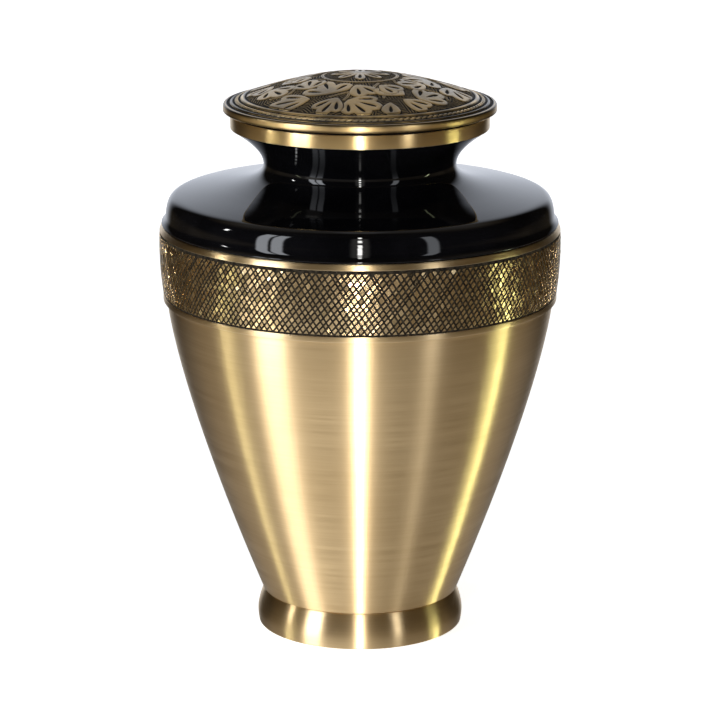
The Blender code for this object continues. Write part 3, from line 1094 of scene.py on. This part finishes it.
def turned_lines():
    """Fine marks of turning: noise squeezed along Z and drawn out round the piece."""
    inputs = {"Fineness": 2400.0, "Run": 34.0}
    tree, given, result = new_group("turned_lines", inputs, {"Lines": "NodeSocketFloat"})
    spot = place(tree, "ShaderNodeTexCoord").outputs["Object"]
    run = given.outputs["Run"]
    parts = []
    for factor in (1.0, 0.31):
        scale = {
            "X": times(tree, run, factor),
            "Y": times(tree, run, factor),
            "Z": times(tree, given.outputs["Fineness"], factor),
        }
        stretch = place(tree, "ShaderNodeCombineXYZ", scale).outputs[0]
        vector = place(tree, "ShaderNodeVectorMath", {0: spot, 1: stretch}, operation="MULTIPLY")
        noise = {"Vector": vector.outputs[0], "Scale": 1.0, "Detail": 2.0, "Roughness": 0.55}
        parts.append(place(tree, "ShaderNodeTexNoise", noise).outputs["Fac"])
    mean = times(tree, plus(tree, *parts), 0.5)
    tree.links.new(mean, result.inputs["Lines"])
    return tree


def slow_clouds():
    """Soft patches, as handling and age leave: three octaves of noise, spread to 0..1."""
    inputs = {"Size": 0.03, "Edge low": 0.35, "Edge high": 0.65}
    tree, given, result = new_group("slow_clouds", inputs, {"Clouds": "NodeSocketFloat"})
    spot = place(tree, "ShaderNodeTexCoord").outputs["Object"]
    scale = sums(tree, "DIVIDE", 1.0, given.outputs["Size"])
    noise = place(
        tree, "ShaderNodeTexNoise", {"Vector": spot, "Scale": scale, "Detail": 3.0}
    ).outputs["Fac"]
    tree.links.new(
        ramp(tree, noise, given.outputs["Edge low"], given.outputs["Edge high"]),
        result.inputs["Clouds"],
    )
    return tree


def brass_tone():
    """Brass that is warmer in patches, with painted shade in its corners and a painted highlight
    on its edges.
    """
    inputs = {
        "Clean": (0.8, 0.6, 0.33, 1.0),
        "Warm": (0.66, 0.47, 0.23, 1.0),
        "Shade colour": (0.05, 0.035, 0.02, 1.0),
        "Patches": 0.5,
        "Corner shade": 0.5,
        "Shine": 0.2,
    }
    outputs = {"Colour": "NodeSocketColor", "Corner": "NodeSocketFloat"}
    tree, given, result = new_group("brass_tone", inputs, outputs)
    bent = mark(tree, "bent")
    corner = ramp(tree, bent, -0.02, -0.5, 0.0, 1.0)
    edge = ramp(tree, bent, 0.1, 0.9, 0.0, 1.0)
    base = blend(tree, given.outputs["Patches"], given.outputs["Clean"], given.outputs["Warm"])
    # Painted highlight: crisp outer edges are paled towards cream.
    edge_sheen = times(tree, edge, given.outputs["Shine"])
    pale = blend(tree, edge_sheen, base, (1.0, 0.93, 0.75, 1.0))
    # Painted shade: crisp inner corners are darkened towards the shade colour.
    dark = times(tree, corner, given.outputs["Corner shade"])
    tree.links.new(blend(tree, dark, pale, given.outputs["Shade colour"]), result.inputs["Colour"])
    tree.links.new(dark, result.inputs["Corner"])
    return tree


def use_group(tree, group, inputs):
    """Places a node group with its own values and returns its outputs."""
    group_tree = bpy.data.node_groups[group]
    return place(tree, "ShaderNodeGroup", inputs, node_tree=group_tree).outputs


def new_material(name, constants):
    """A material with its Principled shader, whose constant sockets are set here."""
    material = bpy.data.materials.new(name)
    material.use_nodes = True
    tree = material.node_tree
    shader = tree.nodes["Principled BSDF"]
    for label, value in constants.items():
        shader.inputs[label].default_value = value
    return material, tree, shader


def feed(tree, shader, **sockets):
    """Links node outputs to the shader's sockets, whose names have _ for a space."""
    for label, socket in sockets.items():
        tree.links.new(socket, shader.inputs[label.replace("_", " ")])


def bump(tree, height, distance, strength=1.0):
    """The normal that a height gives."""
    inputs = {"Height": height, "Distance": distance, "Strength": strength}
    return place(tree, "ShaderNodeBump", inputs).outputs[0]


def turned_brass(name, finish, clean, roughness, spread, marks, grain):
    """Brass with the marks of the lathe, which draw its highlights out up and down."""
    constants = {"Specular IOR Level": 0.12, "Anisotropic": 1.0, "Anisotropic Rotation": 0.25}
    material, tree, shader = new_material(name, constants)
    lines = use_group(tree, "turned_lines", {"Fineness": marks, "Run": 30.0})["Lines"]
    clouds = use_group(tree, "slow_clouds", {"Size": 0.045})["Clouds"]
    # brass_tone paints shade into the piece's crisp corners and a highlight on its crisp edges.
    tone = {
        "Clean": opaque(clean),
        "Warm": opaque(finish.deep_brass),
        "Patches": plus(tree, times(tree, clouds, 0.35), ramp(tree, lines, 0.3, 0.7, 0.0, 0.25)),
        "Corner shade": finish.corner_shade,
    }
    made = use_group(tree, "brass_tone", tone)
    rough = ramp(tree, lines, 0.3, 0.7, roughness - spread, roughness + spread)
    # The sunk mark is carried only by the mouth ring: it paints the line under the lid in the
    # patina colour, as painted shade between ring and lid.
    sunk = ramp(tree, mark(tree, "sunk"), 0.30, 0.80)
    feed(
        tree,
        shader,
        Base_Color=blend(tree, sunk, made["Colour"], opaque(finish.patina_and_shade)),
        Metallic=less(tree, 1.0, sunk),
        Roughness=plus(tree, rough, times(tree, made["Corner"], 0.2)),
        Normal=bump(tree, lines, grain),
    )
    return material


def net_brass(finish):
    """The pads: brass a little aged, each pad of its own tone."""
    material, tree, shader = new_material("net_brass", {"Metallic": 1.0})
    tone = mark(tree, "tone")
    clouds = use_group(tree, "slow_clouds", {"Size": 0.004})["Clouds"]
    of_pad = times(tree, tone, 0.6)
    patches = plus(tree, of_pad, times(tree, clouds, 0.3))
    made = blend(tree, patches, opaque(finish.net_brass), opaque(finish.leaf_grey))
    feed(
        tree,
        shader,
        Base_Color=made,
        Roughness=ramp(tree, clouds, 0.0, 1.0, 0.18, 0.27),
        Normal=bump(tree, clouds, 0.00002),
    )
    return material


def dark_ground(finish):
    """The blackened bottom of the cuts, with a little brass showing through."""
    material, tree, shader = new_material("net_ground", {"Specular IOR Level": 0.12})
    clouds = use_group(tree, "slow_clouds", {"Size": 0.0016})["Clouds"]
    worn = times(tree, clouds, 0.06)
    made = blend(tree, worn, opaque(finish.patina_and_shade), opaque(finish.leaf_grey))
    feed(
        tree,
        shader,
        Base_Color=made,
        Roughness=ramp(tree, clouds, 0.0, 1.0, 0.85, 0.65),
        Normal=bump(tree, clouds, 0.00006),
    )
    return material


def black_enamel(finish):
    """Deep gloss black, with the faint ripples of a stoved coat over spun metal."""
    material, tree, shader = new_material("black_enamel", {"IOR": 1.34})
    ripples = use_group(tree, "turned_lines", {"Fineness": 260.0, "Run": 9.0})["Lines"]
    clouds = use_group(tree, "slow_clouds", {"Size": 0.02})["Clouds"]
    made = blend(tree, clouds, opaque(finish.enamel), (0.0022, 0.0022, 0.0028, 1.0))
    feed(
        tree,
        shader,
        Base_Color=made,
        Roughness=ramp(tree, clouds, 0.0, 1.0, 0.025, 0.05),
        Normal=bump(tree, ripples, 0.0002),
    )
    return material


def carved_brass(finish):
    """Leaves and stems of aged brass over a dark ground with brass hatching."""
    constants = {"Coat Roughness": 0.18, "Coat IOR": 1.4, "Specular IOR Level": 0.15}
    material, tree, shader = new_material("carved_brass", constants)
    clouds = use_group(tree, "slow_clouds", {"Size": 0.012})["Clouds"]
    grain = use_group(tree, "slow_clouds", {"Size": 0.0009})["Clouds"]
    leaf = ramp(tree, mark(tree, "leaf"), -0.05, 0.10)
    vein = ramp(tree, mark(tree, "vein"), -0.06, 0.06)
    stem = mark(tree, "stem")
    ridge = times(tree, ramp(tree, stem, 0.70, 0.52), ramp(tree, stem, 0.10, 0.24))
    wave = sums(tree, "SINE", times(tree, mark(tree, "hatch"), math.tau))
    hatch = times(tree, ramp(tree, wave, 0.30, 0.75), 0.55)
    outline = ramp(tree, mark(tree, "leaf"), -0.50, -0.38, 1.0, 0.0)
    ground = sums(tree, "MAXIMUM", times(tree, hatch, outline), ridge)
    bright = times(tree, leaf, less(tree, 1.0, vein))
    ground = times(tree, ground, less(tree, 1.0, leaf))
    metal = sums(tree, "MAXIMUM", bright, ground)
    polish = less(tree, metal, times(tree, grain, 0.3))
    brass = blend(tree, clouds, opaque(finish.leaf_brass), opaque(finish.leaf_grey))
    feed(
        tree,
        shader,
        Base_Color=blend(tree, metal, opaque(finish.patina_and_shade), brass),
        Metallic=metal,
        Roughness=ramp(tree, polish, 0.0, 1.0, 0.7, 0.34),
        Coat_Weight=ramp(tree, metal, 0.5, 1.0, 0.0, 0.3),
        Normal=bump(tree, grain, 0.00003),
    )
    return material


def rim_brass(finish):
    """The lid's shell: aged brass in its grooves and rings, brighter towards the lip, with painted
    shade in its corners.
    """
    constants = {"Specular IOR Level": 0.12, "Anisotropic": 0.6, "Anisotropic Rotation": 0.25}
    material, tree, shader = new_material("rim_brass", constants)
    clouds = use_group(tree, "slow_clouds", {"Size": 0.010})["Clouds"]
    lines = use_group(tree, "turned_lines", {"Fineness": 3000.0, "Run": 40.0})["Lines"]
    spot = place(tree, "ShaderNodeTexCoord").outputs["Object"]
    flat = place(tree, "ShaderNodeVectorMath", {0: spot, 1: (1, 1, 0)}, operation="MULTIPLY")
    radius = place(
        tree, "ShaderNodeVectorMath", {0: flat.outputs[0]}, operation="LENGTH"
    ).outputs["Value"]
    groove_end = 0.0590
    lip_start = 0.0597
    lip = ramp(tree, radius, groove_end, lip_start)
    aged = blend(tree, clouds, opaque(finish.leaf_brass), opaque(finish.leaf_grey))
    # brass_tone paints strong shade into the shell's corners in the patina colour, and a highlight
    # on its edges.
    tone = {
        "Clean": opaque(finish.gold_brass),
        "Warm": blend(tree, lip, aged, opaque(finish.deep_brass)),
        "Shade colour": opaque(finish.patina_and_shade),
        "Patches": clouds,
        "Corner shade": 0.95,
    }
    made = use_group(tree, "brass_tone", tone)
    sunk = ramp(tree, mark(tree, "sunk"), 0.50, 0.95)
    rough = ramp(tree, lines, 0.3, 0.7, 0.28, 0.38)
    feed(
        tree,
        shader,
        Base_Color=blend(tree, sunk, made["Colour"], opaque(finish.patina_and_shade)),
        Metallic=less(tree, 1.0, sunk),
        Roughness=plus(tree, rough, times(tree, sunk, 0.4)),
        Normal=bump(tree, lines, 0.00002),
    )
    return material


# The studio.


def strip_group():
    """A patch of light on the sky between two heights, round one bearing, in degrees."""
    inputs = {
        "Bearing": 0.0,
        "Bearing of light": 0.0,
        "Lean": 0.0,
        "Half width": 5.0,
        "Soft": 1.0,
        "Height": 0.0,
        "Low": -60.0,
        "High": 60.0,
        "Strength": 1.0,
        "Tint": (1.0, 1.0, 1.0, 1.0),
    }
    tree, given, result = new_group("studio_strip", inputs, {"Light": "NodeSocketColor"})
    take = given.outputs
    shift = times(tree, take["Lean"], take["Height"])
    centre = plus(tree, take["Bearing of light"], shift)
    away = sums(tree, "ABSOLUTE", less(tree, take["Bearing"], centre))
    inner = less(tree, take["Half width"], take["Soft"])
    outer = plus(tree, take["Half width"], take["Soft"])
    across = ramp(tree, away, inner, outer, 1.0, 0.0)
    from_low = less(tree, take["Height"], take["Low"])
    from_high = less(tree, take["High"], take["Height"])
    up = times(tree, ramp(tree, from_low, -2.0, 2.0), ramp(tree, from_high, -2.0, 2.0))
    amount = times(tree, times(tree, across, up), take["Strength"])
    tree.links.new(scaled(tree, take["Tint"], amount), result.inputs["Light"])
    return tree


# Each light: bearing from the front towards +X where it is level, lean (degrees of bearing
# for each degree of height), half width, softness, lowest and highest height, all in
# degrees, then strength and tint.
STRIPS = (
    (0.0, 0.0, 5.0, 2.0, -60.0, 40.0, 0.9, (1.0, 0.98, 0.94)),
    (-58.5, 0.0, 3.8, 1.0, -4.0, 35.0, 10.0, (0.94, 0.98, 1.05)),
    (-49.0, 0.0, 3.6, 1.0, -4.0, 35.0, 10.0, (0.94, 0.98, 1.05)),
    (-58.0, 0.0, 9.5, 3.0, -75.0, -4.0, 0.9, (1.0, 0.97, 0.90)),
    (-61.0, 0.0, 8.0, 2.5, -31.0, -19.0, 2.6, (1.0, 0.97, 0.88)),
    (43.0, 0.0, 3.5, 1.0, -4.0, 35.0, 4.0, (0.94, 0.98, 1.05)),
    (41.0, 0.0, 3.5, 1.5, -75.0, -4.0, 0.15, (1.0, 0.97, 0.90)),
    (-64.5, 1.05, 1.5, 0.8, -50.0, -10.0, 4.2, (0.94, 1.0, 0.66)),
    (-88.0, 0.0, 1.3, 0.8, 17.0, 23.0, 60.0, (1.0, 1.0, 1.0)),
    (73.5, -1.05, 1.4, 0.8, -47.0, -10.0, 14.0, (0.90, 1.0, 0.60)),
)
# A row of lamps in front, one above the other: heights in degrees, half the height of
# one, half its width and its softness, then strength and tint.
LAMP_HEIGHTS = range(-75, 56, 20)
LAMP_HALF_HEIGHT = 4.4
LAMP = (1.2, 0.6)
LAMP_LIGHT = (53.0, (1.0, 0.99, 0.96))


def lamp_row():
    """The lamps as strips of light."""
    half = LAMP_HALF_HEIGHT
    return [(0.0, 0.0, *LAMP, at - half, at + half, *LAMP_LIGHT) for at in LAMP_HEIGHTS]


def back_wall(tree, around, height):
    """The white wall behind the urn: brightest level with it, and dimmer low down."""
    wall = times(tree, ramp(tree, around, 146.0, 164.0), ramp(tree, height, 62.0, 8.0))
    wall = times(tree, wall, ramp(tree, height, -16.0, 2.0, 0.50, 1.0))
    wall = times(tree, wall, ramp(tree, height, -55.0, -16.0, 0.55, 1.0))
    behind = times(tree, ramp(tree, around, 90.0, 140.0), ramp(tree, height, -19.0, -29.0))
    return plus(tree, wall, times(tree, behind, 0.2))


def ceiling(tree, x, around, height):
    """Soft light overhead, strongest over the middle and towards the back."""
    middle = ramp(tree, sums(tree, "ABSOLUTE", x), 0.02, 0.13, 1.0, 0.5)
    light = times(tree, ramp(tree, height, 34.0, 56.0, 0.0, 0.72), middle)
    return times(tree, light, ramp(tree, around, 60.0, 130.0, 0.08, 1.0))


def low_room(tree, bearing, height):
    """The pale table in front: brighter the lower it is, and dimmer on both sides."""
    low = times(
        tree,
        ramp(tree, height, -12.0, -50.0, 0.34, 1.10),
        ramp(tree, bearing, -10.0, 60.0, 1.0, 0.44),
    )
    low = times(tree, low, ramp(tree, bearing, -120.0, -60.0, 0.45, 1.0))
    around = sums(tree, "ABSOLUTE", bearing)
    dim = times(tree, ramp(tree, around, 105.0, 130.0), ramp(tree, height, -28.0, -18.0))
    low = times(tree, low, ramp(tree, dim, 0.0, 1.0, 1.0, 0.25))
    return times(tree, low, ramp(tree, height, 4.0, -6.0))


def build_world():
    """White for the camera; for reflections a dark room, a white back wall and strips."""
    world = bpy.data.worlds.new("studio")
    bpy.context.scene.world = world
    world.use_nodes = True
    tree = world.node_tree
    tree.nodes.clear()
    ray = place(tree, "ShaderNodeTexCoord").outputs["Generated"]
    axis = place(tree, "ShaderNodeSeparateXYZ", {0: ray}).outputs
    to_front = times(tree, axis["Y"], -1.0)
    bearing = times(tree, sums(tree, "ARCTAN2", axis["X"], to_front), 180.0 / math.pi)
    height = times(tree, sums(tree, "ARCSINE", axis["Z"]), 180.0 / math.pi)
    around = sums(tree, "ABSOLUTE", bearing)
    room = plus(tree, low_room(tree, bearing, height), ceiling(tree, axis["X"], around, height))
    grey = plus(tree, room, 0.015)
    hue = blend(tree, ramp(tree, grey, 0.10, 0.55), (1.0, 0.78, 0.50, 1.0), (1.0, 0.98, 0.97, 1.0))
    glow = scaled(tree, (0.90, 0.96, 1.08), times(tree, back_wall(tree, around, height), 1.1))
    total = added(tree, scaled(tree, hue, grey), glow)
    for centre, lean, half, soft, lowest, highest, strength, tint in (*STRIPS, *lamp_row()):
        inputs = {
            "Bearing": bearing,
            "Bearing of light": centre,
            "Lean": lean,
            "Half width": half,
            "Soft": soft,
            "Height": height,
            "Low": lowest,
            "High": highest,
            "Strength": strength,
            "Tint": opaque(tint),
        }
        total = added(tree, total, use_group(tree, "studio_strip", inputs)["Light"])
    studio = place(tree, "ShaderNodeBackground", {"Color": total}).outputs[0]
    white = place(tree, "ShaderNodeBackground", {"Color": (1, 1, 1, 1)}).outputs[0]
    seen = place(tree, "ShaderNodeLightPath").outputs["Is Camera Ray"]
    mix = place(tree, "ShaderNodeMixShader", {0: seen, 1: studio, 2: white}).outputs[0]
    return place(tree, "ShaderNodeOutputWorld", {"Surface": mix})


def build_floor(size):
    """A plain pale floor that the metal doesn't mirror."""
    half = 0.5 * size
    signs = np.array([[-1.0, -1.0], [1.0, -1.0], [1.0, 1.0], [-1.0, 1.0]])
    corners = np.pad(half * signs, ((0, 0), (0, 1)))
    floor = surface("floor", corners, [np.array([[0, 1, 2, 3]])], sharp_degrees=0.0)
    material, tree, shader = new_material("pale_floor", {"Roughness": 0.9})
    clouds = use_group(tree, "slow_clouds", {"Size": 0.8})["Clouds"]
    made = blend(tree, clouds, (0.86, 0.86, 0.86, 1.0), (0.84, 0.84, 0.84, 1.0))
    feed(tree, shader, Base_Color=made, Emission_Color=made)
    shader.inputs["Emission Strength"].default_value = 0.9
    floor.data.materials.append(material)
    floor.visible_glossy = False
    floor.visible_shadow = False
    return floor


def build_camera(studio):
    """The camera at the photograph's angle."""
    data = bpy.data.cameras.new("camera")
    data.lens = studio.lens
    data.sensor_width = 36.0
    camera = bpy.data.objects.new("camera", data)
    camera.location = (0.0, -studio.camera_distance, studio.camera_height)
    camera.rotation_euler = (math.radians(90.0 - studio.camera_pitch), 0.0, 0.0)
    bpy.context.scene.collection.objects.link(camera)
    bpy.context.scene.camera = camera
    return camera


# Operators, panel and registration.


class URN_OT_stage(bpy.types.Operator):
    """Makes the shared node groups, the light, the floor and the camera."""

    bl_idname = "urn.stage"
    bl_label = "Stage"

    def execute(self, context):
        for build in (turned_lines, slow_clouds, brass_tone, strip_group):
            build()
        studio = context.scene.urn_studio
        build_world()
        build_floor(studio.floor_size)
        build_camera(studio)
        context.scene.view_settings.view_transform = "Standard"
        return {"FINISHED"}


class URN_OT_foot(bpy.types.Operator):
    """Makes the foot ring."""

    bl_idname = "urn.foot"
    bl_label = "Foot ring"

    def execute(self, context):
        finish = context.scene.urn_finish
        material = turned_brass("foot_brass", finish, finish.brass, 0.34, 0.04, 2600.0, 0.000008)
        foot = lathe("foot_ring_brass", foot_outline(context.scene.urn_foot))
        dress(foot, material, "satin_brass", "foot_ring")
        return {"FINISHED"}


class URN_OT_body(bpy.types.Operator):
    """Makes the brass cup with its cone and stripes."""

    bl_idname = "urn.body"
    bl_label = "Body"

    def execute(self, context):
        scene = context.scene
        finish = scene.urn_finish
        material = turned_brass("body_brass", finish, finish.brass, 0.37, 0.04, 2600.0, 0.000009)
        cup = lathe("body_cup", body_outline(scene.urn_body, scene.urn_net), 240)
        dress(cup, material, "satin_brass", "body")
        return {"FINISHED"}


class URN_OT_net(bpy.types.Operator):
    """Makes the net of pads and the dark strip below it."""

    bl_idname = "urn.net"
    bl_label = "Net band"

    def execute(self, context):
        scene = context.scene
        ground = lathe("net_ground", net_ground_outline(scene.urn_body, scene.urn_net), 240)
        dress(ground, dark_ground(scene.urn_finish), "satin_brass")
        pads = net_pads(scene.urn_body, scene.urn_net)
        dress(pads, net_brass(scene.urn_finish), "satin_brass")
        return {"FINISHED"}


class URN_OT_shoulder(bpy.types.Operator):
    """Makes the enamelled shoulder and neck."""

    bl_idname = "urn.shoulder"
    bl_label = "Shoulder"

    def execute(self, context):
        scene = context.scene
        outline = shoulder_outline(scene.urn_body, scene.urn_shoulder)
        piece = lathe("shoulder_enamel", outline, 240)
        dress(piece, black_enamel(scene.urn_finish), "black_enamel", "shoulder")
        return {"FINISHED"}


class URN_OT_mouth(bpy.types.Operator):
    """Makes the mouth ring."""

    bl_idname = "urn.mouth"
    bl_label = "Mouth ring"

    def execute(self, context):
        scene = context.scene
        finish = scene.urn_finish
        gold = finish.gold_brass
        material = turned_brass("mouth_brass", finish, gold, 0.32, 0.04, 3000.0, 0.000008)
        ring = scene.urn_ring
        depth_at = partial(line_depth, ring)
        piece = lathe("mouth_ring_brass", mouth_ring_outline(ring), 192, None, depth_at)
        dress(piece, material, "polished_brass", "mouth_ring")
        return {"FINISHED"}


class URN_OT_lid(bpy.types.Operator):
    """Makes the lid: shell with ribs and lip, ring of beads, and carved field."""

    bl_idname = "urn.lid"
    bl_label = "Lid"

    def execute(self, context):
        scene = context.scene
        lid = scene.urn_lid
        shell_finish = rim_brass(scene.urn_finish)
        depth_at = partial(groove_depth, lid)
        shell = lathe("lid_shell", lid_outline(lid, scene.urn_ring), 240, None, depth_at)
        dress(shell, shell_finish, "antique_brass", "lid")
        dress(rope_ring(lid), shell_finish, "antique_brass")
        dress(carved_field(lid, 288), carved_brass(scene.urn_finish), "antique_brass")
        return {"FINISHED"}


class URN_PT_panel(bpy.types.Panel):
    """Lists the urn's pieces in the sidebar."""

    bl_idname = "URN_PT_panel"
    bl_label = "Cremation urn"
    bl_space_type = "VIEW_3D"
    bl_region_type = "UI"
    bl_category = "Urn"

    def draw(self, context):
        for operator in OPERATORS:
            self.layout.operator(operator.bl_idname)


GROUPS = {
    "urn_foot": UrnFoot,
    "urn_body": UrnBody,
    "urn_net": UrnNet,
    "urn_shoulder": UrnShoulder,
    "urn_ring": UrnRing,
    "urn_lid": UrnLid,
    "urn_finish": UrnFinish,
    "urn_studio": UrnStudio,
}
OPERATORS = (
    URN_OT_stage,
    URN_OT_foot,
    URN_OT_body,
    URN_OT_net,
    URN_OT_shoulder,
    URN_OT_mouth,
    URN_OT_lid,
)


def register():
    """Registers the classes and hangs the sizes on the scene."""
    for item in (*GROUPS.values(), *OPERATORS, URN_PT_panel):
        bpy.utils.register_class(item)
    for label, group in GROUPS.items():
        setattr(bpy.types.Scene, label, PointerProperty(type=group))


def unregister():
    """Takes both away again."""
    for label in GROUPS:
        delattr(bpy.types.Scene, label)
    for item in (URN_PT_panel, *reversed(OPERATORS), *reversed(GROUPS.values())):
        bpy.utils.unregister_class(item)


def main():
    """Builds everything in order."""
    register()
    bpy.ops.urn.stage()
    bpy.ops.urn.foot()
    bpy.ops.urn.body()
    bpy.ops.urn.net()
    bpy.ops.urn.shoulder()
    bpy.ops.urn.mouth()
    bpy.ops.urn.lid()


if __name__ == "__main__":
    main()
